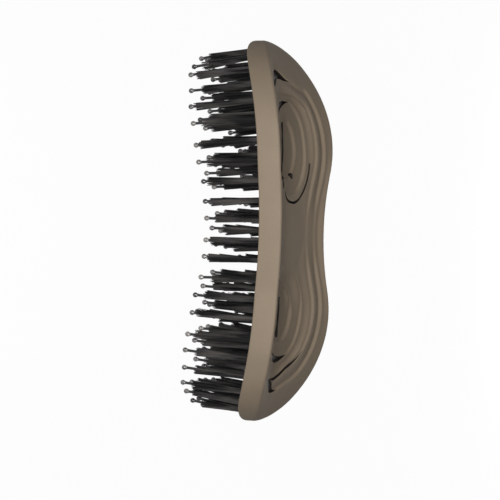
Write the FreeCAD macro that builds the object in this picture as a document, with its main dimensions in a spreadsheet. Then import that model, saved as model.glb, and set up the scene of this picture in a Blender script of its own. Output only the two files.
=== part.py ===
import FreeCAD, Part
import math
import os

# Handleless styling brush, standing on the ball tips of its pins.
# X runs along the brush, Z points up out of its back, and the origin lies on the surface it stands on,
# under the middle of the brush. All lengths are millimetres.

document = FreeCAD.newDocument("styling_brush")
sheet = document.addObject("Spreadsheet::Sheet", "sizes")

SIZES = [
    # Outline of the rim, seen from above.
    ("overall_length", 140.0),
    ("lobe_width", 60.0),
    ("waist_narrowing", 6.0),
    # The rim arches over the length, with a slight dip at the waist.
    ("crest_height", 42.3),
    ("waist_dip", 0.8),
    ("arch_radius", 68.5),
    ("arch_shoulder", 27.4),
    # Band and walls of the shell.
    ("band_height", 8.7),
    ("rim_wall", 1.6),
    ("skin", 3.2),
    ("crest_round", 1.4),
    ("lip_round", 0.8),
    # Finger basin: the land left round it, the width of each rail, and the step down to it.
    ("side_land", 5.0),
    ("end_land", 12.5),
    ("outer_rail_width", 5.5),
    ("middle_rail_width", 6.0),
    ("well_rail_width", 6.0),
    ("outer_rail_step", 2.0),
    ("middle_rail_step", 2.0),
    ("well_step", 2.2),
    ("centre_step", 1.8),
    # Flat stretch between the two wells.
    ("saddle_length", 26.0),
    # Vents.
    ("slot_width", 2.2),
    ("thin_slot_width", 0.8),
    ("loop_slot_width", 1.0),
    ("centre_slit_length", 14.0),
    ("centre_slit_width", 1.0),
    ("vent_hole_diameter", 1.6),
    # Bare flat disc on the waist.
    ("pad_diameter", 14.0),
    ("pad_rise", 0.3),
    # Bristle bed and its seat.
    ("bed_clearance", 0.15),
    ("seat_gap", 0.1),
    ("bed_web", 1.0),
    ("post_diameter", 2.4),
    ("post_clearance", 0.1),
    ("post_end_gap", 0.4),
    # Tuft, pin, ball tip and anchor.
    ("hole_depth", 3.0),
    ("tuft_root_diameter", 1.8),
    ("tuft_end_diameter", 2.6),
    ("tuft_end_bevel", 0.4),
    ("tuft_hole_clearance", 0.05),
    ("pin_diameter", 1.0),
    ("pin_clearance", 0.03),
    ("pin_stand_out", 5.5),
    ("ball_overhang", 0.45),
    ("ball_socket_depth", 0.7),
    ("anchor_side_gap", 0.15),
    ("anchor_height", 0.9),
    ("anchor_thickness", 0.35),
    # Envelope of the ball tips: arched in the middle, level at both ends.
    ("tip_rise", 10.3),
    ("tip_arch_span", 118.0),
    ("splay", 0.5),
    # Rows of tufts.
    ("rim_row_spacing", 7.4),
    ("end_row_spread", 15.0),
    ("rail_row_spacing", 11.0),
    ("well_row_spacing", 11.0),
    ("centre_row_spacing", 9.0),
    # One overrun for every cut.
    ("overrun", 6.0),
]

for row, (alias, value) in enumerate(SIZES, start=1):
    sheet.set("A%d" % row, alias)
    sheet.set("B%d" % row, str(value))
    sheet.setAlias("B%d" % row, alias)
document.recompute()


def size(alias):
    return float(sheet.get(alias))


# Shares that fix the places of the outline's arcs.
lobe_place_share = 0.48
lobe_end_share = 0.655
well_end_share = 5 / 6
roundest_share = 0.92
converge_share = 0.05
slot_start_share = 0.3
saddle_row_share = 0.4

# The slots are widest on one side: the direction of their widest place, from the lobe's end.
slot_tilt = math.radians(50)

half_length = size("overall_length") / 2
half_width = size("lobe_width") / 2
lobe_place = half_length * lobe_place_share

# The basin and, in each lobe, a well and its centre.
basin_half_length = half_length - size("end_land")
basin_half_width = half_width - size("side_land")
well_start = size("saddle_length") / 2
well_end = basin_half_length - size("outer_rail_width") - size("middle_rail_width")
well_place = (well_start + well_end) / 2
well_half_width = min(basin_half_width - size("outer_rail_width") - size("middle_rail_width"),
                      (well_end - well_start) / 2 * roundest_share)
outer_rail_depth = size("outer_rail_step")
middle_rail_depth = outer_rail_depth + size("middle_rail_step")
well_depth = middle_rail_depth + size("well_step")
centre_depth = well_depth + size("centre_step")

bed_thickness = size("hole_depth") + size("bed_web")
bed_top_drop = size("skin") + size("seat_gap")
bed_bottom_drop = bed_top_drop + bed_thickness
hole_radius = size("tuft_root_diameter") / 2 + size("tuft_hole_clearance")
pin_radius = size("pin_diameter") / 2
ball_radius = pin_radius + size("ball_overhang")
bed_edge = size("rim_wall") + size("bed_clearance")
rim_row_inset = (bed_edge + size("side_land") - size("bed_clearance")) / 2
end_row_inset = (rim_row_inset + size("end_land")) / 2


# Arcs and outlines.

def point_on(centre, radius, towards):
    direction = towards.sub(centre)
    return centre.add(direction.multiply(radius / direction.Length))


def arc_between(centre, radius, start, end):
    middle = point_on(centre, radius, start.add(end).multiply(0.5))
    return Part.Arc(start, middle, end).toShape()


def mirrored(point, side_x, side_y):
    return FreeCAD.Vector(point.x * side_x, point.y * side_y, point.z)


def closed_outline(quarter):
    # The arcs of one quarter, mirrored to all four and joined end to end.
    edges = []
    for side_x, side_y, forward in ((1, 1, True), (1, -1, False), (-1, -1, True), (-1, 1, False)):
        arcs = quarter if forward else list(reversed(quarter))
        for centre, radius, start, end in arcs:
            ends = (start, end) if forward else (end, start)
            edges.append(arc_between(mirrored(centre, side_x, side_y), radius,
                                     mirrored(ends[0], side_x, side_y), mirrored(ends[1], side_x, side_y)))
    return Part.Wire(edges)


def side_radius(reach, half_width, end_radius):
    # Radius of the arc that is level at the widest place and runs smoothly into the end arc.
    return (reach ** 2 + half_width ** 2 - 2 * end_radius * reach) / (2 * (half_width - end_radius))


def lobe_middle(reach, half_width):
    # Where a lobe is widest: nearer to the waist if it would otherwise be wider than it is long.
    return min(lobe_place, reach - half_width / roundest_share)


def peanut(reach, half_width, inset):
    # Two lobes and a waist, all arcs tangent, moved inwards by the inset. The reach is its half length.
    end_radius = half_width * lobe_end_share
    place = lobe_middle(reach, half_width)
    side = side_radius(reach - place, half_width, end_radius)
    narrowing = size("waist_narrowing")
    waist = (place ** 2 + narrowing ** 2) / (2 * narrowing) - side
    end_centre = FreeCAD.Vector(reach - end_radius, 0, 0)
    side_centre = FreeCAD.Vector(place, half_width - side, 0)
    waist_centre = FreeCAD.Vector(0, half_width - narrowing + waist, 0)
    middle = FreeCAD.Vector(0, half_width - narrowing - inset, 0)
    waist_joint = point_on(waist_centre, waist + inset, side_centre)
    beyond = end_centre.add(end_centre.sub(side_centre))
    end_joint = point_on(end_centre, end_radius - inset, beyond)
    tip = FreeCAD.Vector(reach - inset, 0, 0)
    return closed_outline([
        (waist_centre, waist + inset, middle, waist_joint),
        (side_centre, side - inset, waist_joint, end_joint),
        (end_centre, end_radius - inset, end_joint, tip),
    ])


def oval(reach, half_width, inset, place):
    # One closed oval of tangent arcs, with its middle at the given place along X.
    end_radius = half_width * well_end_share
    side = side_radius(reach, half_width, end_radius)
    end_centre = FreeCAD.Vector(reach - end_radius, 0, 0)
    side_centre = FreeCAD.Vector(0, half_width - side, 0)
    beyond = end_centre.add(end_centre.sub(side_centre))
    end_joint = point_on(end_centre, end_radius - inset, beyond)
    wire = closed_outline([
        (side_centre, side - inset, FreeCAD.Vector(0, half_width - inset, 0), end_joint),
        (end_centre, end_radius - inset, end_joint, FreeCAD.Vector(reach - inset, 0, 0)),
    ])
    wire.translate(FreeCAD.Vector(place, 0, 0))
    return wire


def rim_outline(inset):
    return peanut(half_length, half_width, inset)


def basin_outline(inset):
    return peanut(basin_half_length, basin_half_width, inset)


def middle_rail_outline(inset):
    return basin_outline(inset + size("outer_rail_width"))


def front_well_outline(inset):
    return oval((well_end - well_start) / 2, well_half_width, inset, well_place)


def rear_well_outline(inset):
    return oval((well_end - well_start) / 2, well_half_width, inset, -well_place)


# The arch of the rim, seen from the side.

dip_radius = ((size("arch_shoulder") ** 2 + size("waist_dip") ** 2) / (2 * size("waist_dip"))
              - size("arch_radius"))


def crest(place):
    # Height of the rim's crest at a place along X.
    reach = abs(place)
    joint = size("arch_shoulder") * dip_radius / (dip_radius + size("arch_radius"))
    if reach < joint:
        fall = size("waist_dip") - (dip_radius - math.sqrt(dip_radius ** 2 - reach ** 2))
    else:
        fall = size("arch_radius") - math.sqrt(size("arch_radius") ** 2 - (reach - size("arch_shoulder")) ** 2)
    return size("crest_height") - fall


def arch_edges(drop):
    # The crest line lowered by the drop, from one end to the other.
    reach = half_length + size("overrun")
    joint = size("arch_shoulder") * dip_radius / (dip_radius + size("arch_radius"))

    def spot(place):
        return FreeCAD.Vector(place, 0, crest(place) - drop)

    left = Part.Arc(spot(-reach), spot(-(reach + joint) / 2), spot(-joint)).toShape()
    middle = Part.Arc(spot(-joint), spot(0), spot(joint)).toShape()
    right = Part.Arc(spot(joint), spot((reach + joint) / 2), spot(reach)).toShape()
    return [left, middle, right]


def feature(name, shape):
    made = document.addObject("Part::Feature", name)
    made.Shape = shape
    return made


def extrusion(name, base, direction, length, both_ways):
    made = document.addObject("Part::Extrusion", name)
    made.Base = base
    made.DirMode = "Custom"
    made.Dir = direction
    made.Solid = True
    made.Symmetric = both_ways
    made.setExpression("LengthFwd", length)
    return made


def arch_slab(name, upper_drop, lower_drop):
    # All that lies between the crest line lowered by one drop and by another, from side to side.
    upper = arch_edges(upper_drop)
    lower = arch_edges(lower_drop)
    left_end = Part.makeLine(lower[0].firstVertex(True).Point, upper[0].firstVertex(True).Point)
    right_end = Part.makeLine(upper[2].lastVertex(True).Point, lower[2].lastVertex(True).Point)
    wire = Part.Wire(upper + [right_end] + lower[::-1] + [left_end])
    face = feature(name + "_section", Part.Face(wire))
    return extrusion(name, face, FreeCAD.Vector(0, 1, 0), "sizes.lobe_width + 2 * sizes.overrun", True)


def column(name, wires, upper_drop, lower_drop):
    # What lies inside the outlines, between two levels that follow the arch.
    outlines = feature(name + "_outline", Part.makeCompound([Part.Face(wire) for wire in wires]))
    prism = extrusion(name + "_prism", outlines, FreeCAD.Vector(0, 0, 1),
                      "sizes.crest_height + sizes.overrun", False)
    slab = arch_slab(name + "_slab", upper_drop, lower_drop)
    made = document.addObject("Part::Common", name)
    made.Base = prism
    made.Tool = slab
    return made


def fusion(name, members):
    made = document.addObject("Part::MultiFuse", name)
    made.Shapes = members
    return made


def difference(name, base, tool):
    made = document.addObject("Part::Cut", name)
    made.Base = base
    made.Tool = tool
    return made


# Terraces: what is inside each outline lies that much below the crest.

def terrace_levels(growth):
    wells = (front_well_outline, rear_well_outline)
    return [
        ("outer_rail", [basin_outline(-growth)], outer_rail_depth),
        ("middle_rail", [middle_rail_outline(-growth)], middle_rail_depth),
        ("well", [outline(-growth) for outline in wells], well_depth),
        ("centre", [outline(size("well_rail_width") - growth) for outline in wells], centre_depth),
    ]


def terraced_plate(name, first_plate, growth, lift, thickness):
    # A plate that steps down from terrace to terrace, of one thickness all over.
    plates = [first_plate]
    cuts = []
    for level, outlines, depth in terrace_levels(growth):
        upper = depth + lift
        plates.append(column(name + "_" + level, outlines, upper, upper + thickness))
        cuts.append(column(name + "_" + level + "_hollow", outlines, -size("overrun"), upper))
    return difference(name + "_terraces", fusion(name + "_plates", plates), fusion(name + "_hollows", cuts))


# Vent slots: crescents under the rails at the ends of the lobes, widest on the +Y side of the turn.

def crescent(outline, growth, place, angle, width):
    # What an outline leaves when it moves by the width against the direction of the slot's widest place.
    whole = Part.Face(outline(-growth))
    moved = Part.Face(outline(0))
    moved.translate(FreeCAD.Vector(-width * math.cos(angle), -width * math.sin(angle), 0))
    window = Part.makePlane(size("overall_length"), 2 * size("overall_length"),
                            FreeCAD.Vector(half_width * slot_start_share, -size("overall_length"), 0))
    window.rotate(FreeCAD.Vector(0, 0, 0), FreeCAD.Vector(0, 0, 1), math.degrees(angle))
    window.translate(FreeCAD.Vector(place, 0, 0))
    return whole.cut(moved).common(window)


def slot_plans(growth):
    plans = []
    width = size("slot_width")
    lobe = lobe_middle(basin_half_length, basin_half_width)
    for side, well in ((1, front_well_outline), (-1, rear_well_outline)):
        angle = slot_tilt if side > 0 else math.pi - slot_tilt
        plans.append(crescent(basin_outline, growth, side * lobe, angle, width))
        plans.append(crescent(well, growth, side * well_place, angle, width))
        slit_start = FreeCAD.Vector(side * well_place - size("centre_slit_length") / 2,
                                    -size("centre_slit_width") / 2, 0)
        plans.append(Part.makePlane(size("centre_slit_length"), size("centre_slit_width"), slit_start))
    # The rear lobe also has a thin slot between its rails.
    plans.append(crescent(middle_rail_outline, growth, -lobe, math.pi - slot_tilt,
                          size("thin_slot_width")))
    # The front well also has a slot on its waist side, and a round vent hole at the end of its slit.
    plans.append(crescent(front_well_outline, growth, well_place, math.pi - slot_tilt, size("loop_slot_width")))
    hole_place = well_place - size("centre_slit_length") / 2 - size("vent_hole_diameter")
    hole_edge = Part.makeCircle(size("vent_hole_diameter") / 2, FreeCAD.Vector(hole_place, 0, 0))
    plans.append(Part.Face(Part.Wire(hole_edge)))
    return plans


def slot_prisms(name, growth):
    outlines = feature(name + "_outlines", Part.makeCompound(slot_plans(growth)))
    return extrusion(name, outlines, FreeCAD.Vector(0, 0, 1), "sizes.crest_height + sizes.overrun", False)


# Locating posts of the shell, and their sockets in the bed.

def post_places():
    saddle = (0, middle_rail_depth)
    ends = [(side * (half_length - end_row_inset), 0) for side in (1, -1)]
    return [saddle] + ends


def post_bars(name, clearance, upper_drop, lower_drop):
    bars = []
    for number, (place, depth) in enumerate(post_places(), start=1):
        bar = document.addObject("Part::Cylinder", "%s_%d" % (name, number))
        bar.setExpression("Radius", "sizes.post_diameter / 2 + %s" % clearance)
        top = crest(place) - depth - upper_drop
        bottom = crest(place) - depth - lower_drop
        bar.Height = top - bottom
        bar.Placement = FreeCAD.Placement(FreeCAD.Vector(place, 0, bottom), FreeCAD.Rotation())
        bars.append(bar)
    return fusion(name, bars)


# Shell: the rounded rim block, hollowed from below, then the terraces, slots, posts and the waist disc.

def rounded_rim_block():
    block = column("rim_block", [rim_outline(0)], 0, size("band_height"))
    document.recompute()
    shape = block.Shape
    rounds = []
    for number, edge in enumerate(shape.Edges, start=1):
        spots = [edge.valueAt(value) for value in
                 (edge.FirstParameter, (edge.FirstParameter + edge.LastParameter) / 2, edge.LastParameter)]
        falls = [crest(spot.x) - spot.z for spot in spots]
        if max(falls) < size("crest_round") / 10:
            rounds.append((number, size("crest_round"), size("crest_round")))
        elif min(falls) > size("band_height") - size("crest_round") / 10:
            rounds.append((number, size("lip_round"), size("lip_round")))
    return block, rounds


block, rounds = rounded_rim_block()
rim = document.addObject("Part::Fillet", "rounded_rim")
rim.Base = block
rim.Edges = rounds
rim_hollow = column("rim_hollow", [rim_outline(size("rim_wall"))], size("skin"),
                    size("band_height") + size("overrun"))
cap = difference("cap", rim, rim_hollow)
shell_terraces = terraced_plate("shell", cap, 0, 0, size("skin"))

waist_pad = document.addObject("Part::Cylinder", "waist_pad")
waist_pad.setExpression("Radius", "sizes.pad_diameter / 2")
waist_pad.setExpression("Height", "sizes.pad_rise + sizes.skin / 2")
pad_top = crest(0) - middle_rail_depth + size("pad_rise")
waist_pad.Placement = FreeCAD.Placement(
    FreeCAD.Vector(0, 0, pad_top - size("pad_rise") - size("skin") / 2), FreeCAD.Rotation())

posts = post_bars("posts", "0", size("skin") / 2, bed_bottom_drop - size("post_end_gap"))
shell_vented = difference("shell_vented", shell_terraces, slot_prisms("shell_slots", 0))
back_shell = fusion("back_shell", [shell_vented, waist_pad, posts])
back_shell.Label = "back_shell"


# Rows of tufts. Each tuft stands where its row says, at the level of the terrace above it.

def spaced_points(wire, spacing, half_step):
    # Evenly spaced, the same in all four quarters of the outline.
    count = 4 * max(1, round(wire.Length / (4 * spacing)))
    steps = wire.discretize(Number=2 * count + 1)
    first = 1 if half_step else 0
    return [(steps[2 * index + first].x, steps[2 * index + first].y) for index in range(count)]


def row_plans():
    outer_inset = (size("slot_width") + size("outer_rail_width")) / 2
    middle_inset = (size("slot_width") + size("middle_rail_width")) / 2
    well_inset = (size("slot_width") + size("well_rail_width")) / 2
    centre_inset = (size("well_rail_width") + well_half_width) / 2
    across = size("end_row_spread") / 2
    end_radius = half_width * lobe_end_share - end_row_inset
    end_place = half_length - end_row_inset - (end_radius - math.sqrt(end_radius ** 2 - across ** 2))
    saddle_width = basin_half_width - size("waist_narrowing") - size("outer_rail_width")
    end_spots = []
    saddle_spots = []
    well_spots = []
    centre_spots = []
    for side, well in ((1, front_well_outline), (-1, rear_well_outline)):
        well_spots += spaced_points(well(well_inset), size("well_row_spacing"), side > 0)
        centre_spots += spaced_points(well(centre_inset), size("centre_row_spacing"), True)
        saddle_spots.append((side * well_start / 2, 0))
        saddle_spots.append((0, side * saddle_width * saddle_row_share))
        for way in (1, -1):
            end_spots.append((side * end_place, way * across))
    return [
        ("rim_row", spaced_points(rim_outline(rim_row_inset), size("rim_row_spacing"), True), 0),
        ("end_rows", end_spots, 0),
        ("outer_rail_row", spaced_points(basin_outline(outer_inset), size("rail_row_spacing"), False),
         outer_rail_depth),
        ("middle_rail_row", spaced_points(middle_rail_outline(middle_inset), size("rail_row_spacing"), True),
         middle_rail_depth),
        ("well_rows", well_spots, well_depth),
        ("centre_rows", centre_spots, centre_depth),
        ("saddle_row", saddle_spots, middle_rail_depth),
    ]


def tip_height(place):
    # Height of a ball tip's centre over the surface that the brush stands on.
    half_span = size("tip_arch_span") / 2
    return ball_radius + size("tip_rise") * max(0, 1 - (place / half_span) ** 2)


def tuft_axes(spots, depth):
    # Where each tuft leaves the bed, and where the centre of its ball tip lies.
    axes = []
    golden_turn = math.pi * (3 - math.sqrt(5))
    for index, (place, across) in enumerate(spots):
        base = FreeCAD.Vector(place, across, crest(place) - depth - bed_bottom_drop)
        turn = index * golden_turn
        tip_x = place * (1 - converge_share) + size("splay") * math.cos(turn)
        tip_y = across * (1 - converge_share) + size("splay") * math.sin(turn)
        axes.append((base, FreeCAD.Vector(tip_x, tip_y, tip_height(tip_x))))
    return axes


def along(axis, shape):
    # A shape drawn from the origin up, stood at the tuft's foot and pointed at its tip.
    base, tip = axis
    turn = FreeCAD.Rotation(FreeCAD.Vector(0, 0, 1), tip.sub(base))
    placed = shape.copy()
    placed.Placement = FreeCAD.Placement(base, turn)
    return placed


def turned(points):
    # A solid of revolution about Z from (radius, height) points.
    corners = [FreeCAD.Vector(radius, 0, height) for radius, height in points]
    face = Part.Face(Part.makePolygon(corners + corners[:1]))
    return face.revolve(FreeCAD.Vector(0, 0, 0), FreeCAD.Vector(0, 0, 1), 360)


def tuft_solid(free_length):
    bore = pin_radius + size("pin_clearance")
    root = size("tuft_root_diameter") / 2
    end = size("tuft_end_diameter") / 2
    foot = -size("hole_depth") + size("anchor_height")
    top = free_length - size("pin_stand_out") - ball_radius
    return turned([(bore, foot), (root, foot), (root, 0), (end, top - size("tuft_end_bevel")),
                   (end - size("tuft_end_bevel"), top), (bore, top)])


def pin_end(free_length):
    return free_length - ball_radius + size("ball_socket_depth")


def pin_solid(free_length):
    foot = -size("hole_depth") + size("anchor_height")
    return Part.makeCylinder(pin_radius, pin_end(free_length) - foot, FreeCAD.Vector(0, 0, foot))


def ball_solid(free_length):
    centre = FreeCAD.Vector(0, 0, free_length)
    socket_start = FreeCAD.Vector(0, 0, free_length - 2 * ball_radius)
    socket = Part.makeCylinder(pin_radius + size("pin_clearance"), pin_end(free_length) - socket_start.z,
                               socket_start)
    return Part.makeSphere(ball_radius, centre).cut(socket)


def anchor_solid(free_length):
    width = size("tuft_root_diameter") - 2 * size("anchor_side_gap")
    corner = FreeCAD.Vector(-width / 2, -size("anchor_thickness") / 2, -size("hole_depth"))
    return Part.makeBox(width, size("anchor_thickness"), size("anchor_height"), corner)


KINDS = [
    ("tufts", tuft_solid),
    ("pins", pin_solid),
    ("ball_tips", ball_solid),
    ("anchors", anchor_solid),
]

rows = []
hole_tools = []
for row_name, spots, depth in row_plans():
    axes = tuft_axes(spots, depth)
    for axis in axes:
        hole = Part.makeCylinder(hole_radius, size("hole_depth") + size("overrun"),
                                 FreeCAD.Vector(0, 0, -size("hole_depth")))
        hole_tools.append(along(axis, hole))
    for kind, make in KINDS:
        solids = [along(axis, make(axis[1].sub(axis[0]).Length)) for axis in axes]
        row_feature = feature(row_name + "_" + kind, Part.makeCompound(solids))
        row_feature.Placement = FreeCAD.Placement()
        rows.append(row_feature)
    print(row_name, len(axes))


# Bed: the same terraces one skin lower, with the slots, the post sockets and a blind hole for each tuft.

bed_land = column("bed_land", [rim_outline(bed_edge)], bed_top_drop, bed_bottom_drop)
bed_terraces = terraced_plate("bed", bed_land, size("bed_clearance"), bed_top_drop, bed_thickness)
bed_vented = difference("bed_vented", bed_terraces, slot_prisms("bed_slots", size("bed_clearance")))
sockets = post_bars("post_sockets", "sizes.post_clearance", 0, bed_bottom_drop + size("overrun"))
bed_socketed = difference("bed_socketed", bed_vented, sockets)
tuft_holes = feature("tuft_holes", Part.makeCompound(hole_tools))
bristle_bed = difference("bristle_bed", bed_socketed, tuft_holes)
bristle_bed.Label = "bristle_bed"

document.recompute()

pieces = [back_shell, bristle_bed] + rows

for made in document.Objects:
    if "Invalid" in made.State or "Error" in made.State:
        raise RuntimeError("failed: " + made.Name + " " + str(made.State))
for piece in pieces:
    if piece.Shape.isNull() or not piece.Shape.isValid():
        raise RuntimeError("bad shape: " + piece.Label)

os.makedirs("parts", exist_ok=True)
for piece in pieces:
    piece.Shape.exportStep("parts/" + piece.Label + ".step")
    print(piece.Label, len(piece.Shape.Solids), round(piece.Shape.Volume, 1))
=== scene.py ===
import bpy
import math
import random
from mathutils import Matrix, Vector


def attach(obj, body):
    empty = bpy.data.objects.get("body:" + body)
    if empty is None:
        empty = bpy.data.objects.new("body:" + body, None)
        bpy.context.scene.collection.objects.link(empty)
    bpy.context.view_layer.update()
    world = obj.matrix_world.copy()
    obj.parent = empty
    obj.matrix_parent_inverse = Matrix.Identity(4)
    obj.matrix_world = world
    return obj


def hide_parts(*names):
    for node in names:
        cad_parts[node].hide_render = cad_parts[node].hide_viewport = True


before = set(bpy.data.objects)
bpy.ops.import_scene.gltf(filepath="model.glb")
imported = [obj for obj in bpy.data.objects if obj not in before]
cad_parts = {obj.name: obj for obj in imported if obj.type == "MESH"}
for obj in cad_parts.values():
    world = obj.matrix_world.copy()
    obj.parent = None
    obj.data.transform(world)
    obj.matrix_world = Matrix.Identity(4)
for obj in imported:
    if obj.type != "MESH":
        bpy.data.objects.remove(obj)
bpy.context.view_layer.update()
mm = 0.001


# Back shell: one thin-walled moulding in taupe ABS with a fine matte texture. A band runs round its rim,
# and inside it the finger basin steps down in soft rails. The rim arches over the length of the brush.
# The height of each rail changes along it, so the shell is lofted loop by loop: no primitive has this form.

half_length = 70.0
half_width = 30.0
waist_narrowing = 6.0
lobe_place = 33.6
roundest_share = 0.92
lobe_end_share = 0.655
well_end_share = 5 / 6
crest_height = 42.3
waist_dip = 0.8
arch_radius = 68.5
arch_shoulder = 27.4
band_height = 8.7
rim_wall = 1.6
crest_round = 0.9
lip_round = 0.8
side_land = 5.0
end_land = 12.5
rail_end_setback = 1.0
outer_rail_width = 5.5
middle_rail_width = 6.0
well_rail_width = 6.0
well_start = 13.0
underside_depths = {"land": 3.2, "outer_rail": 5.2, "middle_rail": 7.2, "well": 9.4, "centre": 11.2}

basin_half_length = half_length - end_land
basin_half_width = half_width - side_land
rail_half_length = basin_half_length - rail_end_setback
well_end = basin_half_length - outer_rail_width - middle_rail_width
well_place = (well_start + well_end) / 2
well_reach = (well_end - well_start) / 2
well_half_width = basin_half_width - outer_rail_width - middle_rail_width

tip_start = 62.5
tip_lip_rise = 3.4
tip_crest_fall = 2.5

arc_steps = (26, 34, 20)
saddle_steps = 28
round_angles = (0, 22.5, 45, 67.5, 90)


def crest(place):
    # Height of the rim's crest over the floor, in mm, at a place along X.
    dip_radius = (arch_shoulder ** 2 + waist_dip ** 2) / (2 * waist_dip) - arch_radius
    reach = abs(place)
    joint = arch_shoulder * dip_radius / (dip_radius + arch_radius)
    if reach < joint:
        return crest_height - waist_dip + dip_radius - math.sqrt(dip_radius ** 2 - reach ** 2)
    return crest_height - arch_radius + math.sqrt(arch_radius ** 2 - (reach - arch_shoulder) ** 2)


def side_radius(reach, width, end_radius):
    # Radius of the arc that is level at the widest place and runs smoothly into the end arc.
    return (reach ** 2 + width ** 2 - 2 * end_radius * reach) / (2 * (width - end_radius))


def peanut_half(reach, width, inset):
    # Half of a two-lobed outline, from the waist on the +Y side round the +X end to the other side.
    end_radius = width * lobe_end_share
    lobe = min(lobe_place, reach - width / roundest_share)
    side = side_radius(reach - lobe, width, end_radius)
    waist = (lobe ** 2 + waist_narrowing ** 2) / (2 * waist_narrowing) - side
    waist_y = width - waist_narrowing + waist
    side_y = width - side
    end_x = reach - end_radius
    first_turn = math.atan2(side_y - waist_y, lobe)
    second_turn = math.atan2(-side_y, end_x - lobe)
    arcs = (
        (0, waist_y, waist + inset, -math.pi / 2, first_turn),
        (lobe, side_y, side - inset, first_turn + math.pi, second_turn),
        (end_x, 0, end_radius - inset, second_turn, 0),
    )
    quarter = []
    for (x, y, radius, start, stop), steps in zip(arcs, arc_steps):
        for step in range(steps):
            angle = start + (stop - start) * step / steps
            quarter.append((x + radius * math.cos(angle), y + radius * math.sin(angle)))
    return quarter + [(reach - inset, 0)] + [(x, -y) for x, y in reversed(quarter)]


def oval_spot(angle, inset):
    # Where a ray from the middle of a well meets the well's outline, moved inwards by the inset.
    end_radius = well_half_width * well_end_share
    side = side_radius(well_reach, well_half_width, end_radius)
    end_x = well_reach - end_radius
    side_y = well_half_width - side
    turn = math.atan2(-side_y, end_x)
    joint = (end_x + (end_radius - inset) * math.cos(turn), (end_radius - inset) * math.sin(turn))
    cosine, sine = abs(math.cos(angle)), abs(math.sin(angle))
    if math.atan2(sine, cosine) < math.atan2(joint[1], joint[0]):
        reach = end_x * cosine + math.sqrt((end_radius - inset) ** 2 - (end_x * sine) ** 2)
    else:
        reach = side_y * sine + math.sqrt((side - inset) ** 2 - (side_y * cosine) ** 2)
    return well_place + reach * math.cos(angle), reach * math.sin(angle)


def rounding(radius, from_wall):
    # A quarter round, as (inset, depth) from the corner.
    turns = [math.radians(angle) for angle in round_angles]
    spots = [(radius * (1 - math.cos(turn)), radius * (1 - math.sin(turn))) for turn in turns]
    return spots if from_wall else spots[::-1]


def eased(value, start, run):
    # A share that goes from 0 to 1 while the value goes from the start over the run, with soft ends.
    share = min(1, max(0, (value - start) / run))
    return share * share * (3 - 2 * share)


# A rail's section: its edge as (inset, depth), and the riser under it as (inset, share of the drop).
rail_edge = [(-1.2, -0.12), (-0.6, -0.05)]
rail_riser = [(-0.25, 0.02), (0, 0.12), (0.25, 0.35), (0.5, 0.62), (0.75, 0.83), (1.05, 0.95), (1.5, 1)]
faint_edge_share = 0.35


def rail(inset, top, foot):
    # A rail's soft edge and the riser under it, as (inset, depth).
    rows = [(inset + out, top + depth) for out, depth in rail_edge]
    return rows + [(inset + out, top + share * (foot - top)) for out, share in rail_riser]


def slope(inset, top, foot):
    # The same rows where a rail has all but run out: a slope with a faint edge.
    start, start_depth = rail_edge[0]
    fall = (foot - top - start_depth) / (rail_riser[-1][0] - start)
    rows = []
    for row, depth in rail(inset, top, foot):
        level = top + start_depth + fall * (row - inset - start)
        rows.append((row, faint_edge_share * depth + (1 - faint_edge_share) * level))
    return rows


# The ends of the rails lean along X. A lean grows over a run of X, and the shares of its near and its far
# side grow over runs of Y.
lean_start = 28
lean_run = 16
near_lean_run = 15
far_lean_start = 6
far_lean_run = 10


def leaned(spots, lean):
    # Moves the end of a rail along X: all of it, more on the near side and more on the far side.
    push, near, near_start, far = lean
    moved = []
    for x, y in spots:
        shift = push + near * eased(y, near_start, near_lean_run)
        shift += far * eased(-y, far_lean_start, far_lean_run)
        moved.append((x + shift * eased(x, lean_start, lean_run), y))
    return moved


# The rails as (inset, depth), by the end of a lobe, by the waist and on the near side, where the near crest
# hides them. The front lobe's end is squarer than the rear lobe's, and its well is sharper by the waist.
land_shares = (0.15, 0.4, 0.7, 1.0)
land_depths = {"end": (0.12, 0.45, 0.8, 1.1), "waist": (0.16, 0.6, 1.15, 1.75),
               "near": (0.35, 0.95, 1.6, 2.2)}
outer_rows = {"end": rail(0, 1.3, 2.6) + [(2.0, 2.5)], "waist": slope(0, 1.9, 2.6) + [(2.0, 2.7)],
              "near": rail(0, 2.5, 2.8) + [(2.0, 2.9)]}
middle_rows = {"end": rail(outer_rail_width, 2.5, 3.6), "waist": slope(outer_rail_width, 3.1, 3.6),
               "near": rail(outer_rail_width, 3.7, 4.5)}
floor_rows = [(8.5, 8.6), (9.7, 8.8), (10.8, 8.9)]
well_rows = [(0.3, 4.2), (0.65, 4.8)] + rail(0, 5.3, 6.3) + [(3.0, 6.6)]
well_rows += rail(well_rail_width, 7.1, 8.4) + floor_rows
well_near_rows = [(0.3, 4.8), (0.65, 5.1)] + rail(0, 5.6, 6.6) + [(3.0, 7.0)]
well_near_rows += rail(well_rail_width, 8.1, 8.7) + floor_rows
front_waist_rows = [(0.3, 3.75), (0.65, 4.0)] + rail(0, 4.6, 5.9) + [(3.0, 6.4)]
front_waist_rows += rail(well_rail_width, 7.1, 8.3) + floor_rows
rear_waist_rows = [(0.3, 3.8), (0.65, 4.2)] + rail(0, 5.0, 5.4) + [(3.0, 6.2)]
rear_waist_rows += rail(well_rail_width, 7.3, 7.7) + floor_rows
saddle_depth = 3.7

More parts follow.
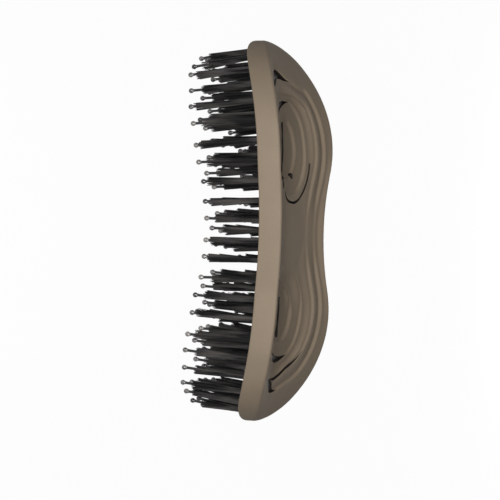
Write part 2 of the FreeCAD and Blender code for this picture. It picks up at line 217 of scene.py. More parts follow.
# The leans of both lobes, in mm: of the whole rail, of its near side and from which Y, and of its far side.
front_leans = {"outer": (-1.5, 8.5, 0, 3.5), "middle": (0.5, 6.0, 0, 3.0), "well": (1.9, 4.0, 0, 2.7),
               "well_rail": (1.4, 3.0, 0, 2.0), "floor": (0, 0, 0, 0)}
rear_leans = {"outer": (0.5, 4.7, -4, 1.0), "middle": (0, 7.0, -4, 0.5), "well": (0.8, 4.5, -4, 0.5),
              "well_rail": (0.5, 3.0, -4, 0.3), "floor": (0, 0, 0, 0)}

# Where the depths change over: from the waist's to the lobe's along X, in the wells by the cosine of the
# direction from their middle, and to the near side's along Y, but not at the end of a lobe.
waist_start = 3
waist_run = 17
well_waist_start = -0.25
well_waist_run = 1.05
near_run = 7
near_end = 46
near_end_run = 12

# The rails' brims lie outside their edges. A well's first rows lie between the saddle and its brim, the next
# ones lean with the well, with its rail, and on its floor not at all.
brim_inset = -1.5
brim_rows = 2
well_rail_from = 2
floor_from = 8
centre_margin = 3


def near_share(x, y):
    # How far the near side's depths hold at a spot.
    return eased(y, 0, near_run) * (1 - eased(x, near_end, near_end_run))


def mixed_depth(depths, waist_share, near):
    # A depth between that of the lobe's end, that of the waist and that of the near side.
    end, waist, hidden = depths
    depth = end + (waist - end) * waist_share
    return depth + (hidden - depth) * near


def tip_change(x, depth):
    # At both ends of the brush the lip rises and the crest falls, so that the band's end is rounded.
    turn = min(1, max(0, (x - tip_start) / (half_length - tip_start)))
    bend = 1 - math.sqrt(1 - turn ** 2)
    share = depth / band_height
    return bend * (tip_crest_fall * (1 - share) - tip_lip_rise * share)


def shell_lobe(mesh_points, faces, side, waist_rows, leans):
    # Half of the shell, from the band's lip over the rails to the middle of the well, and back underneath.
    flip = side < 0

    def add_row(spots, depths):
        start = len(mesh_points)
        for (x, y), depth in zip(spots, depths):
            mesh_points.append((side * x * mm, y * mm, (crest(x) - depth) * mm))
        return list(range(start, len(mesh_points)))

    def bridge(row, following, closed):
        count = len(row)
        for step in range(count if closed else count - 1):
            after = (step + 1) % count
            quad = (row[step], row[after], following[after], following[step])
            faces.append(quad[::-1] if flip else quad)

    rim_rows = [(rim_wall, band_height)]
    rim_rows += [(inset, band_height - depth) for inset, depth in rounding(lip_round, False)]
    rim_rows += [(inset, depth) for inset, depth in rounding(crest_round, True)]
    rows = [(peanut_half(half_length, half_width, inset), (depth,) * 3) for inset, depth in rim_rows]
    outer = rows[-1][0]
    inner = leaned(peanut_half(rail_half_length, basin_half_width, brim_inset), leans["outer"])
    for share, *depths in zip(land_shares, *land_depths.values()):
        blend = [(a[0] + (b[0] - a[0]) * share, a[1] + (b[1] - a[1]) * share) for a, b in zip(outer, inner)]
        rows.append((blend, depths))
    for rails, lean in ((outer_rows, leans["outer"]), (middle_rows, leans["middle"])):
        for profiles in zip(*rails.values()):
            spots = peanut_half(rail_half_length, basin_half_width, profiles[0][0])
            rows.append((leaned(spots, lean), [depth for inset, depth in profiles]))
    indices = []
    for spots, depths in rows:
        row_depths = []
        for x, y in spots:
            depth = mixed_depth(depths, 1 - eased(x, waist_start, waist_run), near_share(x, y))
            row_depths.append(depth + tip_change(x, depth))
        indices.append(add_row(spots, row_depths))
    for row, following in zip(indices, indices[1:]):
        bridge(row, following, False)

    saddle_half = rows[-1][0][0][1]
    across = [saddle_half * (2 * step / saddle_steps - 1) for step in range(1, saddle_steps)]
    centre_line = [(0, y) for y in across]
    ring_spots = rows[-1][0] + centre_line
    centre_depths = []
    for y in across:
        edge_depth = row_depths[0] if y > 0 else row_depths[-1]
        centre_depths.append(saddle_depth + (edge_depth - saddle_depth) * (y / saddle_half) ** 2)
    ring = indices[-1] + add_row(centre_line, centre_depths)
    angles = [math.atan2(y, x - well_place) for x, y in ring_spots]
    waist_shares = [eased(-math.cos(angle), well_waist_start, well_waist_run) for angle in angles]
    brim = leaned([oval_spot(angle, brim_inset) for angle in angles], leans["well"])
    previous = ring
    for number, profiles in enumerate(zip(well_rows, waist_rows, well_near_rows)):
        inset = profiles[0][0]
        if number < brim_rows:
            spots = [(a[0] + (b[0] - a[0]) * inset, a[1] + (b[1] - a[1]) * inset)
                     for a, b in zip(ring_spots, brim)]
        else:
            level = "well" if inset < well_rail_from else "well_rail" if inset < floor_from else "floor"
            spots = leaned([oval_spot(angle, inset) for angle in angles], leans[level])
        depths = [depth for _, depth in profiles]
        row = add_row(spots, [mixed_depth(depths, share, near_share(x, y))
                              for share, (x, y) in zip(waist_shares, spots)])
        bridge(previous, row, True)
        previous = row
    pole = add_row([(well_place, 0)], [floor_rows[-1][1]])[0]
    for step in range(len(previous)):
        triangle = (previous[step], previous[(step + 1) % len(previous)], pole)
        faces.append(triangle[::-1] if flip else triangle)

    # Underside: level terraces, from the middle of the well back out to the inner wall of the band. They
    # lean with the rails above them.
    pole = add_row([(well_place, 0)], [underside_depths["centre"]])[0]
    under = [(well_rail_width + centre_margin, "centre", "floor"), (well_rail_width, "centre", "well_rail"),
             (well_rail_width, "well", "well_rail"), (0, "well", "well"), (0, "middle_rail", "well")]
    previous = None
    for inset, level, lean in under:
        spots = leaned([oval_spot(angle, inset) for angle in angles], leans[lean])
        row = add_row(spots, [underside_depths[level]] * len(angles))
        if previous is None:
            for step in range(len(row)):
                triangle = (pole, row[(step + 1) % len(row)], row[step])
                faces.append(triangle if flip else triangle[::-1])
        else:
            bridge(previous, row, True)
        previous = row
    edge = leaned(peanut_half(basin_half_length, basin_half_width, outer_rail_width), leans["middle"])
    scale = edge[0][1] / saddle_half
    line = [(0, y * scale) for y in across]
    row = add_row(edge + line, [underside_depths["middle_rail"]] * (len(edge) + len(line)))
    bridge(previous, row, True)
    previous = row[:len(edge)]
    basin_line = leaned(peanut_half(basin_half_length, basin_half_width, 0), leans["outer"])
    for spots, level in ((edge, "outer_rail"), (basin_line, "outer_rail"), (basin_line, "land"),
                         (peanut_half(half_length, half_width, rim_wall), "land")):
        row = add_row(spots, [underside_depths[level]] * len(edge))
        bridge(previous, row, False)
        previous = row
    bridge(previous, indices[0], False)


def mesh_object(name, points, faces):
    # A new object from its points and faces.
    mesh = bpy.data.meshes.new(name)
    mesh.from_pydata(points, [], faces)
    made = bpy.data.objects.new(name, mesh)
    bpy.context.scene.collection.objects.link(made)
    return made


def only(made):
    # The one selected and active object, so that an operator acts on nothing else.
    bpy.ops.object.select_all(action="DESELECT")
    made.select_set(True)
    bpy.context.view_layer.objects.active = made


merge_distance = 1e-6


def tidy_mesh(made):
    # Merges the vertices that lie together and turns all faces outwards.
    only(made)
    bpy.ops.object.mode_set(mode="EDIT")
    bpy.ops.mesh.select_all(action="SELECT")
    bpy.ops.mesh.remove_doubles(threshold=merge_distance)
    bpy.ops.mesh.normals_make_consistent(inside=False)
    bpy.ops.object.mode_set(mode="OBJECT")


def clear_selection(made):
    # No vertex of the mesh stays selected, so that some can be selected in code.
    only(made)
    bpy.ops.object.mode_set(mode="EDIT")
    bpy.ops.mesh.select_mode(type="VERT")
    bpy.ops.mesh.select_all(action="DESELECT")
    bpy.ops.object.mode_set(mode="OBJECT")


shell_points = []
shell_faces = []
shell_lobe(shell_points, shell_faces, 1, front_waist_rows, front_leans)
shell_lobe(shell_points, shell_faces, -1, rear_waist_rows, rear_leans)
shell = mesh_object("shell_moulding", shell_points, shell_faces)
tidy_mesh(shell)

# The saddle between the two wells is smoothed, so that the halves run into one another without a crease.
saddle_reach = 13.5
saddle_half_width = 11.0
saddle_deepest = 5.4
saddle_smooth_share = 0.5
saddle_smooth_rounds = 24

clear_selection(shell)
for vertex in shell.data.vertices:
    x, y, z = vertex.co / mm
    vertex.select = abs(x) < saddle_reach and abs(y) < saddle_half_width and z > crest(x) - saddle_deepest
bpy.ops.object.mode_set(mode="EDIT")
bpy.ops.mesh.vertices_smooth(factor=saddle_smooth_share, repeat=saddle_smooth_rounds)
bpy.ops.object.mode_set(mode="OBJECT")

# Vent slots, cut through the shell: crescents under the rails, a slit in the rear well, and two small slots
# on the near side of the saddle. The front well has a round hole, and a hook-shaped slot that runs along its
# near side and round its waist side.
slot_setback = 0.3
crescent_from = 38
crescent_least_width = 0.05
least_opening = 0.01
rear_slit = [(-24.0, 1.0), (-24.0, 2.6), (-39.0, 4.4), (-39.0, 1.2)]
small_slots = [((-10.2, 10.2), (-7.4, 11.8)), ((-20.4, 9.8), (-17.6, 11.4))]
hole_radius = 1.1
hole_place = 20.4
hole_offset = -4.0
hole_sides = 24
hook_line = [(10.9, 3.0), (11.6, 4.5), (12.7, 5.4), (14.2, 5.7), (16.5, 5.0), (18.8, 4.0), (22.4, 2.8),
             (26.0, 2.1), (29.8, 1.8), (34.0, 1.7), (40.0, 1.7)]
hook_inset = -2.5
hook_angles = range(256, 176, -4)
hook_widths = (0.9, 2.1)
hook_widening_start = 12
hook_widening_run = 16
well_line_start = -170
well_line_stop = 190
well_line_steps = 120
cut_floor = 0.3 * crest_height
cut_overrun = 2
shell_smooth_angle = 38


def crescent(spots, width, fade_in, fade_out):
    # The strip inside a rail's edge at the end of a lobe, which opens over one run of Y and closes over
    # another.
    outer = []
    inner = []
    for step in range(1, len(spots) - 1):
        spot = Vector(spots[step])
        along = Vector(spots[step + 1]) - Vector(spots[step - 1])
        normal = Vector((-along.y, along.x)).normalized()
        if normal.x * spot.x < 0:
            normal = -normal
        opening = eased(spot.y, fade_in[0], fade_in[1] - fade_in[0])
        opening *= 1 - eased(spot.y, fade_out[0], fade_out[1] - fade_out[0])
        if opening > least_opening and abs(spot.x) > crescent_from:
            outer.append(spot - normal * slot_setback)
            inner.append(spot - normal * (slot_setback + crescent_least_width + width * opening))
    return outer + inner[::-1]


def prism(name, outline, low, high):
    # An upright block over an outline, from one height to another.
    count = len(outline)
    points = [(x * mm, y * mm, low * mm) for x, y in outline]
    points += [(x * mm, y * mm, high * mm) for x, y in outline]
    faces = [tuple(range(count))[::-1], tuple(range(count, 2 * count))]
    faces += [(step, (step + 1) % count, count + (step + 1) % count, count + step) for step in range(count)]
    made = mesh_object(name, points, faces)
    tidy_mesh(made)
    return made


def well_line(lean):
    # The well's outline, all the way round.
    span = well_line_stop - well_line_start
    angles = [well_line_start + span * step / well_line_steps for step in range(well_line_steps)]
    return leaned([oval_spot(math.radians(angle), 0) for angle in angles], lean)


def mirrored(spots):
    # The same line in the rear lobe.
    return [(-x, y) for x, y in spots]


def strip(spots, widths):
    # A strip along a line, as wide as each spot says.
    left = []
    right = []
    for step, width in enumerate(widths):
        ahead = Vector(spots[min(step + 1, len(spots) - 1)])
        behind = Vector(spots[max(step - 1, 0)])
        along = (ahead - behind).normalized() * width / 2
        left.append((spots[step][0] - along.y, spots[step][1] + along.x))
        right.append((spots[step][0] + along.y, spots[step][1] - along.x))
    return left + right[::-1]


rail_line = peanut_half(rail_half_length, basin_half_width, 0)
middle_line = peanut_half(rail_half_length, basin_half_width, outer_rail_width)
hole_turns = [2 * math.pi * step / hole_sides for step in range(hole_sides)]
round_hole = [(hole_place + hole_radius * math.cos(turn), hole_offset + hole_radius * math.sin(turn))
              for turn in hole_turns]
hook_path = [oval_spot(math.radians(angle), hook_inset) for angle in hook_angles] + hook_line
thin, wide = hook_widths
hook_shares = [eased(x, hook_widening_start, hook_widening_run) if y > 0 else 0 for x, y in hook_path]
hook = strip(hook_path, [thin + (wide - thin) * share for share in hook_shares])

# A crescent is given by its rail's edge, its width, and the runs of Y over which it opens and closes.
slot_outlines = [
    crescent(leaned(rail_line, front_leans["outer"]), 3.6, (0, 13), (17, 23)),
    crescent(well_line(front_leans["well"]), 2.6, (-3, 7), (9, 13)),
    round_hole,
    hook,
    crescent(mirrored(leaned(rail_line, rear_leans["outer"])), 4.0, (1, 12), (12, 18)),
    crescent(mirrored(leaned(middle_line, rear_leans["middle"])), 0.8, (-15, -4), (13, 18)),
    crescent(mirrored(well_line(rear_leans["well"])), 2.8, (-6, 6), (8, 13)),
    rear_slit,
]
slot_outlines += [[low, (high[0], low[1]), high, (low[0], high[1])] for low, high in small_slots]

for number, outline in enumerate(slot_outlines):
    cutter = prism("slot_%d" % number, outline, cut_floor, crest_height + cut_overrun)
    only(shell)
    cut = shell.modifiers.new("slot", "BOOLEAN")
    cut.operation = "DIFFERENCE"
    cut.solver = "MANIFOLD"
    cut.object = cutter
    bpy.ops.object.modifier_apply(modifier=cut.name)
    bpy.data.objects.remove(cutter)

only(shell)
bpy.ops.object.shade_smooth_by_angle(angle=math.radians(shell_smooth_angle))
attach(shell, "root")
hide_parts("back_shell")


def linear(hex_colour):
    # A linear colour from an sRGB colour in hex.
    channels = [int(hex_colour[start:start + 2], 16) / 255 for start in (0, 2, 4)]
    return tuple(c / 12.92 if c <= 0.04045 else ((c + 0.055) / 1.055) ** 2.4 for c in channels) + (1.0,)


def add_node(material, kind, settings=None, **links):
    # One node with its settings and what is plugged into its inputs.
    node = material.node_tree.nodes.new(kind)
    for name, value in (settings or {}).items():
        if name in node.inputs:
            node.inputs[name].default_value = value
        else:
            setattr(node, name, value)
    for name, source in links.items():
        material.node_tree.links.new(source, node.inputs[name.replace("_", " ")])
    return node


def new_material(name):
    material = bpy.data.materials.new(name)
    material.use_nodes = True
    material.node_tree.nodes.clear()
    return material


def finish_surface(material, surface):
    output = material.node_tree.nodes.new("ShaderNodeOutputMaterial")
    material.node_tree.links.new(surface.outputs[0], output.inputs["Surface"])


def dress(made, material):
    made.data.materials.clear()
    made.data.materials.append(material)


# Moulded ABS with a spark-eroded matte texture: an even, soft sheen. The real grain is about 0.05 mm and
# too fine to show, so it is drawn about 0.4 mm coarse.
taupe = new_material("taupe_abs_fine_matte")
place = add_node(taupe, "ShaderNodeTexCoord")
cloud = add_node(taupe, "ShaderNodeTexNoise", {"Scale": 90.0, "Detail": 3.0}, Vector=place.outputs["Object"])
grain = add_node(taupe, "ShaderNodeTexNoise", {"Scale": 2600.0, "Detail": 2.0},
                 Vector=place.outputs["Object"])
speckle = add_node(taupe, "ShaderNodeMix", {"data_type": "FLOAT"},
                   A=cloud.outputs["Fac"], B=grain.outputs["Fac"])
speckle.inputs["Factor"].default_value = 0.45
tone = add_node(taupe, "ShaderNodeValToRGB", {}, Fac=speckle.outputs["Result"])
tone.color_ramp.elements[0].position = 0.3
tone.color_ramp.elements[0].color = linear("847665")
tone.color_ramp.elements[1].position = 0.7
tone.color_ramp.elements[1].color = linear("8D7F6E")
bump = add_node(taupe, "ShaderNodeBump", {"Strength": 0.15, "Distance": 0.0001}, Height=grain.outputs["Fac"])
plastic = add_node(taupe, "ShaderNodeBsdfPrincipled",
                   {"Roughness": 0.66, "IOR": 1.52, "Specular IOR Level": 0.17},
                   Base_Color=tone.outputs["Color"], Normal=bump.outputs["Normal"])
finish_surface(taupe, plastic)
dress(shell, taupe)


# Bristle bed: a moulded black polypropylene plate that fits under the shell and carries the bristles. It is
# seen through the slots and from below. Its matte black varies a little from place to place.

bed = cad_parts["bristle_bed"]
bed_black_and_slot_shade = new_material("black_polypropylene_and_painted_slot_shade")
place = add_node(bed_black_and_slot_shade, "ShaderNodeTexCoord")
cloud = add_node(bed_black_and_slot_shade, "ShaderNodeTexNoise", {"Scale": 200.0, "Detail": 2.0},
                 Vector=place.outputs["Object"])
tone = add_node(bed_black_and_slot_shade, "ShaderNodeValToRGB", {}, Fac=cloud.outputs["Fac"])
tone.color_ramp.elements[0].color = linear("17130F")
tone.color_ramp.elements[1].color = linear("241E19")
plastic = add_node(bed_black_and_slot_shade, "ShaderNodeBsdfPrincipled", {"Roughness": 0.55, "IOR": 1.49},
                   Base_Color=tone.outputs["Color"])
finish_surface(bed_black_and_slot_shade, plastic)
dress(bed, bed_black_and_slot_shade)

# Painted shade: the walls of the slots take the bed's black, to stand in for the shade down in the slots.
# They are every upright face of the shell that lies inside its rim.
upright_limit = 0.001
rim_margin = 2.5

# The bed's black goes onto the shell as painted shade for the slot walls.
shell.data.materials.append(bed_black_and_slot_shade)
rim_line = [Vector((x * mm, y * mm)) for x, y in peanut_half(half_length, half_width, 0)]
rim_line += [Vector((-spot.x, spot.y)) for spot in rim_line]
for polygon in shell.data.polygons:
    if abs(polygon.normal.z) < upright_limit:
        if min((spot - polygon.center.xy).length for spot in rim_line) > rim_margin * mm:
            polygon.material_index = 1


# Tufts, pins and ball tips. Each hole of the bed holds a bundle of black nylon filaments round one thicker
# pin, which stands proud and carries a dipped resin bead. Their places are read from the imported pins. One
# filament, three pins and one bead are modelled upright on the origin and copied.

row_names = ("rim_row", "end_rows", "outer_rail_row", "middle_rail_row", "well_rows", "centre_rows",
             "saddle_row")
pin_radius = 0.5
ball_radius = 0.95
socket_depth = 0.7
pin_stand_out = 5.5
tuft_strays = (1.6, 4.6)
foot_in_hole = 2.1
mouth_depth = 0.5
tuft_root = 0.95
tuft_end = 1.7
filament_radius = 0.15
filament_sides = 5
filament_rings = (0.3, 0.55, 0.78)
filament_tip_share = 0.7
filament_count = 38
golden_turn = math.pi * (3 - math.sqrt(5))
bundle_height = 20.0
bundle_kinds = 5
bundle_turn = 2.1
bundle_drift = (0.1, 0.5)
bundle_slant = 0.03
filament_stray = 0.15
filament_lengths = (0.975, 1.015)
filament_bend = 1.6
pin_sides = 10
pin_rings = (0.2, 0.4, 0.6, 0.8)
pin_bows = (0.08, 0.25, 0.45)
bead_segments = 14
bead_rings = 9
neck_top_share = 0.85
neck_pull = 0.35
neck_widening = 1.7
ring_reach = 0.1
full_spin = 6.28
rod_smooth_angle = 60

random.seed(331)


same_place_digits = 7
order_digits = 5


def loose_solids(mesh):
    # The corners of each separate solid of a node, once its loose triangles are joined by place.
    keys = {}
    parent = []

    def root(item):
        while parent[item] != item:
            parent[item] = parent[parent[item]]
            item = parent[item]
        return item

    index = []
    for vertex in mesh.vertices:
        key = tuple(round(value, same_place_digits) for value in vertex.co)
        if key not in keys:
            keys[key] = len(parent)
            parent.append(len(parent))
        index.append(keys[key])
    for polygon in mesh.polygons:
        corners = [index[vertex] for vertex in polygon.vertices]
        for corner in corners[1:]:
            parent[root(corner)] = root(corners[0])
    groups = {}
    for key, item in keys.items():
        groups.setdefault(root(item), []).append(Vector(key))
    return sorted(groups.values(),
                  key=lambda group: (round(group[0].x, order_digits), round(group[0].y, order_digits)))


def pin_axes(node):
    # Foot and end of each pin: the middles of the rings of vertices at its two ends.
    axes = []
    for group in loose_solids(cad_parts[node].data):
        middle = sum(group, Vector()) / len(group)
        far = max(group, key=lambda spot: (spot - middle).length)
        other = max(group, key=lambda spot: (spot - far).length)
        direction = (far - other).normalized()
        upper = [spot for spot in group if (spot - middle).dot(direction) > 0]
        lower = [spot for spot in group if (spot - middle).dot(direction) <= 0]
        ends = [sum(part, Vector()) / len(part) for part in (upper, lower)]
        foot, end = sorted(ends, key=lambda spot: -spot.z)
        axes.append((foot, end))
    return axes


def pick(made, low, high):
    # Selects the vertices between two heights, in mm, and goes into edit mode.
    clear_selection(made)
    for vertex in made.data.vertices:
        vertex.select = low * mm < vertex.co.z < high * mm
    bpy.ops.object.mode_set(mode="EDIT")


def cut_rings(made, heights):
    # Cuts an upright rod across at each height, in mm.
    only(made)
    bpy.ops.object.mode_set(mode="EDIT")
    for height in heights:
        bpy.ops.mesh.select_all(action="SELECT")
        bpy.ops.mesh.bisect(plane_co=(0, 0, height * mm), plane_no=(0, 0, 1))
    bpy.ops.object.mode_set(mode="OBJECT")


def upright_rod(name, radius, length, sides):
    # A rod that stands on the origin, with its size in mm.
    bpy.ops.object.select_all(action="DESELECT")
    bpy.ops.mesh.primitive_cylinder_add(vertices=sides, radius=radius * mm, depth=length * mm,
                                        location=(0, 0, length / 2 * mm))
    made = bpy.context.object
    made.name = name
    bpy.ops.object.transform_apply(location=True, rotation=True, scale=True)
    return made


def copy_of(model, matrix):
    # A copy with its own mesh, moved in that mesh.
    made = model.copy()
    made.data = model.data.copy()
    made.data.transform(matrix)
    bpy.context.scene.collection.objects.link(made)
    return made


def joined(name, parts):
    # One piece from many.
    bpy.ops.object.select_all(action="DESELECT")
    for part in parts:
        part.select_set(True)
    bpy.context.view_layer.objects.active = parts[0]
    bpy.ops.object.join()
    parts[0].name = name
    return parts[0]


# One filament: a thin rod, cut into rings so that it can bend, with a blunt, slightly thinner tip.
strand = upright_rod("filament", filament_radius, bundle_height, filament_sides)
cut_rings(strand, [bundle_height * share for share in filament_rings])
pick(strand, bundle_height - ring_reach, bundle_height + ring_reach)
bpy.ops.transform.resize(value=(filament_tip_share, filament_tip_share, 1),
                         center_override=(0, 0, bundle_height * mm))
bpy.ops.object.mode_set(mode="OBJECT")


def tuft_bundle(number):
    # A bundle of bent copies of the filament, packed round the pin and opening towards its end.
    turn = number * bundle_turn
    drift = Vector((math.cos(turn), math.sin(turn), 0)) * random.uniform(*bundle_drift)
    slant = random.uniform(-bundle_slant, bundle_slant)
    inner = pin_radius + filament_radius
    parts = []
    for item in range(filament_count):
        turn = item * golden_turn + number
        spread = math.sqrt((item + 0.5) / filament_count)
        radius = inner + (tuft_root - filament_radius - inner) * spread
        out = inner + (tuft_end - filament_radius - inner) * spread
        out += random.uniform(-filament_stray, filament_stray)
        away = Vector((math.cos(turn), math.sin(turn), 0))
        lean = away * (out - radius) + drift
        length = random.uniform(*filament_lengths) + slant * math.cos(turn) * spread
        part = copy_of(strand, Matrix.Rotation(turn, 4, "Z"))
        for vertex in part.data.vertices:
            share = vertex.co.z / (bundle_height * mm)
            vertex.co += (away * radius + lean * share ** filament_bend) * mm
            vertex.co.z *= length
        parts.append(part)
    return joined("bundle_%d" % number, parts)


bundles = [tuft_bundle(number) for number in range(bundle_kinds)]


def bowed_pin(number, bow):
    # A pin: a rod whose middle is pushed aside a little, as nylon keeps the bend of its coil.
    pin = upright_rod("pin_%d" % number, pin_radius, bundle_height, pin_sides)
    heights = [bundle_height * share for share in pin_rings]
    cut_rings(pin, heights)
    for height in heights:
        pick(pin, height - ring_reach, height + ring_reach)
        shift = bow * math.sin(math.pi * height / bundle_height)
        bpy.ops.transform.translate(value=(shift * mm, 0, 0))
        bpy.ops.object.mode_set(mode="OBJECT")
    return pin


pins = [bowed_pin(number, bow) for number, bow in enumerate(pin_bows)]

# One bead: a drop of resin, round at its end and drawn in to a short neck on the pin.
bpy.ops.object.select_all(action="DESELECT")
bpy.ops.mesh.primitive_uv_sphere_add(segments=bead_segments, ring_count=bead_rings, radius=ball_radius * mm)
bead = bpy.context.object
bead.name = "bead"
pick(bead, -2 * ball_radius, -neck_top_share * ball_radius)
bpy.ops.transform.translate(value=(0, 0, -neck_pull * mm))
bpy.ops.transform.resize(value=(neck_widening, neck_widening, 1),
                         center_override=(0, 0, -ball_radius * mm))
bpy.ops.object.mode_set(mode="OBJECT")


def along_pin(foot, end, stretch):
    # Stands a model on the foot of a pin, turned to its axis and spun at random.
    turn = (end - foot).to_track_quat("Z", "Y").to_matrix().to_4x4()
    spin = Matrix.Rotation(random.uniform(0, full_spin), 4, "Z")
    return Matrix.Translation(foot) @ turn @ spin @ Matrix.Diagonal((1, 1, stretch, 1))


# Black nylon filament: drawn, so smooth and slightly glossy. The bundles run from black to dark grey along
# their length, which the noise gives, stretched along the filaments; the grey is painted sheen of lit nylon.
nylon = new_material("black_nylon_filament")
place = add_node(nylon, "ShaderNodeTexCoord")
lengthwise = add_node(nylon, "ShaderNodeMapping", {"Scale": (1.0, 1.0, 0.12)},
                      Vector=place.outputs["Object"])
painted_sheen_streak = add_node(nylon, "ShaderNodeTexNoise", {"Scale": 420.0, "Detail": 2.0},
                  Vector=lengthwise.outputs["Vector"])
# Painted sheen: the dark grey end of this ramp stands for light caught on the filaments.
tone = add_node(nylon, "ShaderNodeValToRGB", {}, Fac=painted_sheen_streak.outputs["Fac"])
tone.color_ramp.elements[0].position = 0.44
tone.color_ramp.elements[0].color = linear("070707")
tone.color_ramp.elements[1].position = 0.68
tone.color_ramp.elements[1].color = linear("4A4745")
plastic = add_node(nylon, "ShaderNodeBsdfPrincipled",
                   {"Roughness": 0.42, "IOR": 1.53, "Specular IOR Level": 0.2},
                   Base_Color=tone.outputs["Color"])
finish_surface(nylon, plastic)

# Black nylon pin: the same nylon, extruded thicker and polished, so it is glossier and evenly black.
pin_nylon = new_material("black_nylon_pin_polished")
place = add_node(pin_nylon, "ShaderNodeTexCoord")
cloud = add_node(pin_nylon, "ShaderNodeTexNoise", {"Scale": 300.0, "Detail": 1.0},
                 Vector=place.outputs["Object"])
tone = add_node(pin_nylon, "ShaderNodeValToRGB", {}, Fac=cloud.outputs["Fac"])
tone.color_ramp.elements[0].color = linear("0A0A0B")
tone.color_ramp.elements[1].color = linear("161617")
plastic = add_node(pin_nylon, "ShaderNodeBsdfPrincipled", {"Roughness": 0.28, "IOR": 1.53},
                   Base_Color=tone.outputs["Color"])
finish_surface(pin_nylon, plastic)

# Dipped epoxy bead: glossy, and clouded from dark to light grey from one bead to the next.
resin = new_material("grey_epoxy_bead_dipped")
place = add_node(resin, "ShaderNodeTexCoord")
cloud = add_node(resin, "ShaderNodeTexNoise", {"Scale": 260.0, "Detail": 1.0},
                 Vector=place.outputs["Object"])
tone = add_node(resin, "ShaderNodeValToRGB", {}, Fac=cloud.outputs["Fac"])
tone.color_ramp.elements[0].position = 0.35
tone.color_ramp.elements[0].color = linear("2E2D2C")
tone.color_ramp.elements[1].position = 0.62
tone.color_ramp.elements[1].color = linear("8C8885")
plastic = add_node(resin, "ShaderNodeBsdfPrincipled", {"Roughness": 0.18, "IOR": 1.55},
                   Base_Color=tone.outputs["Color"])
finish_surface(resin, plastic)

# Each row: a tuft, a pin and a bead stood on every packed pin, and each kind joined to one piece.
for row_name in row_names:
    row_tufts = []
    row_pins = []
    row_beads = []
    for foot, end in pin_axes(row_name + "_pins"):
        direction = (end - foot).normalized()
        mouth = foot + direction * (foot_in_hole - mouth_depth) * mm
        brush_end = end - direction * (socket_depth + pin_stand_out) * mm
        stretch = ((brush_end - mouth).length / mm + random.uniform(*tuft_strays)) / bundle_height
        row_tufts.append(copy_of(random.choice(bundles), along_pin(mouth, end, stretch)))
        stretch = (end - foot).length / (bundle_height * mm)
        row_pins.append(copy_of(random.choice(pins), along_pin(foot, end, stretch)))
        centre = end + direction * (ball_radius - socket_depth) * mm
        row_beads.append(copy_of(bead, along_pin(centre, centre + direction * mm, 1)))
    for made, node, slot, material in (
            (joined(row_name + "_filament_tufts", row_tufts), "_tufts", "tuft", nylon),
            (joined(row_name + "_nylon_pins", row_pins), "_pins", "pin", pin_nylon),
            (joined(row_name + "_resin_beads", row_beads), "_ball_tips", "ball_tip", resin)):
        only(made)
        bpy.ops.object.shade_smooth_by_angle(angle=math.radians(rod_smooth_angle))
        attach(made, "root")
        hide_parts(row_name + node)
        dress(made, material)

for model in bundles + pins + [strand, bead]:
    bpy.data.objects.remove(model)


# Anchors: flat pieces of rolled brass strip, driven into the bottom of the holes with the tufts that they
# hold. They are out of sight inside the bed. The brass has a soft metallic sheen and a fine, uneven yellow.

brass = new_material("brass_strip_rolled")
place = add_node(brass, "ShaderNodeTexCoord")
cloud = add_node(brass, "ShaderNodeTexNoise", {"Scale": 1500.0, "Detail": 2.0},
                 Vector=place.outputs["Object"])
tone = add_node(brass, "ShaderNodeValToRGB", {}, Fac=cloud.outputs["Fac"])
tone.color_ramp.elements[0].color = linear("B08D4A")
tone.color_ramp.elements[1].color = linear("C9A65E")
metal = add_node(brass, "ShaderNodeBsdfPrincipled", {"Metallic": 1.0, "Roughness": 0.35},
                 Base_Color=tone.outputs["Color"])
finish_surface(brass, metal)
for row_name in row_names:
    dress(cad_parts[row_name + "_anchors"], brass)


# Floor: plain matte paper, pale and large. Seen by the camera or in a reflection it is nearly white, and it
# keeps the brush's shadow.

floor_size = 6
floor_grey = 0.6
floor_white_share = 0.97

bpy.ops.object.select_all(action="DESELECT")
bpy.ops.mesh.primitive_plane_add(size=floor_size)
floor = bpy.context.object
floor.name = "floor"


def seen_share(material, most):
    # Most for rays from the camera, off glossy or through clear surfaces, and nothing for the others.
    rays = add_node(material, "ShaderNodeLightPath")
    first = add_node(material, "ShaderNodeMath", {"operation": "MAXIMUM"})
    second = add_node(material, "ShaderNodeMath", {"operation": "MAXIMUM"})
    share = add_node(material, "ShaderNodeMath", {"operation": "MULTIPLY"})
    material.node_tree.links.new(rays.outputs["Is Camera Ray"], first.inputs[0])
    material.node_tree.links.new(rays.outputs["Is Glossy Ray"], first.inputs[1])
    material.node_tree.links.new(first.outputs[0], second.inputs[0])
    material.node_tree.links.new(rays.outputs["Is Transmission Ray"], second.inputs[1])
    material.node_tree.links.new(second.outputs[0], share.inputs[0])
    share.inputs[1].default_value = most
    return share.outputs[0]


white = new_material("white_paper_floor")
paper = add_node(white, "ShaderNodeBsdfDiffuse", {"Color": (floor_grey, floor_grey, floor_grey, 1)})
glow = add_node(white, "ShaderNodeEmission", {"Color": (1, 1, 1, 1), "Strength": 1.0})
mixed = white.node_tree.nodes.new("ShaderNodeMixShader")
white.node_tree.links.new(seen_share(white, floor_white_share), mixed.inputs[0])
white.node_tree.links.new(paper.outputs[0], mixed.inputs[1])
white.node_tree.links.new(glow.outputs[0], mixed.inputs[2])
finish_surface(white, mixed)
dress(floor, white)


# Light: a faint even surround, which is white where the camera sees it, and a small softbox beside the
# camera. Behind the brush, a broad softbox and a low strip light the side that the camera doesn't see.

surround_light = 0.07
surround_seen = 0.93

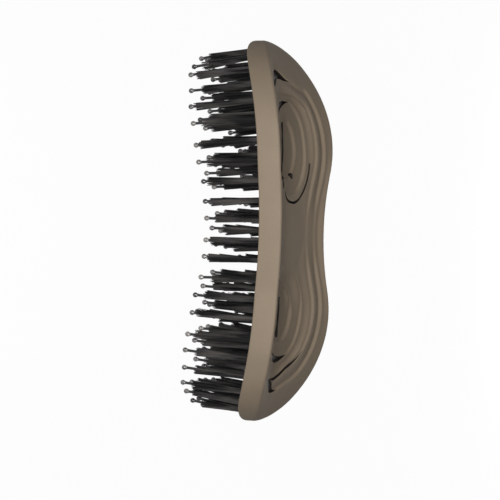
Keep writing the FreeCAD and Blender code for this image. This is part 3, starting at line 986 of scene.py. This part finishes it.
world = bpy.data.worlds.new("pale_surround")
bpy.context.scene.world = world
world.use_nodes = True
background = world.node_tree.nodes["Background"]
background.inputs["Color"].default_value = (1, 1, 1, 1)
strength = add_node(world, "ShaderNodeMath", {"operation": "MULTIPLY_ADD"})
world.node_tree.links.new(seen_share(world, 1.0), strength.inputs[0])
strength.inputs[1].default_value = surround_seen
strength.inputs[2].default_value = surround_light
world.node_tree.links.new(strength.outputs[0], background.inputs["Strength"])


def lamp(name, place, aim, width, height, power, spread):
    # A rectangular area lamp in metres and watts, whose light spreads over an angle in degrees.
    bpy.ops.object.select_all(action="DESELECT")
    bpy.ops.object.light_add(type="AREA", location=place)
    made = bpy.context.object
    made.name = name
    made.data.shape = "RECTANGLE"
    made.data.size = width
    made.data.size_y = height
    made.data.energy = power
    made.data.spread = math.radians(spread)
    made.rotation_euler = (Vector(aim) - Vector(place)).to_track_quat("-Z", "Y").to_euler()


lamp("key_softbox", place=(0, 0.36, 0.13), aim=(0, 0, 0.03), width=0.1, height=0.1, power=0.26, spread=80)
lamp("back_softbox", place=(0, -0.6, 0.07), aim=(0, 0, 0.03), width=0.4, height=0.4, power=0.4, spread=180)
lamp("back_strip", place=(0, -0.5, 0.011), aim=(0, 0, 0.011), width=0.12, height=0.018, power=2.2,
     spread=180)


# Camera: a long lens on the +Y side, raised towards the back of the brush and turned on its side, so that
# the brush stands upright in the picture. Its aim is in mm, along the brush and across it.

view_raise = math.radians(20.52)
view_lean = math.radians(1.436)
view_distance = 1.0
frame_width = 0.1857
sensor_width = 36.0
aim_along = -7.68
aim_across = 19.4

back = Vector((0, -math.sin(view_raise), math.cos(view_raise)))
along = Vector((1, 0, 0))
right = math.sin(view_lean) * along + math.cos(view_lean) * back
up = math.cos(view_lean) * along - math.sin(view_lean) * back
towards = right.cross(up)
centre = up * aim_along * mm + right * aim_across * mm
camera_data = bpy.data.cameras.new("camera")
camera = bpy.data.objects.new("camera", camera_data)
bpy.context.scene.collection.objects.link(camera)
camera_data.sensor_width = sensor_width
camera_data.lens = sensor_width * view_distance / frame_width
camera.matrix_world = (Matrix.Translation(centre + towards * view_distance)
                       @ Matrix((right, up, towards)).transposed().to_4x4())
bpy.context.scene.camera = camera
bpy.context.scene.view_settings.view_transform = "Standard"
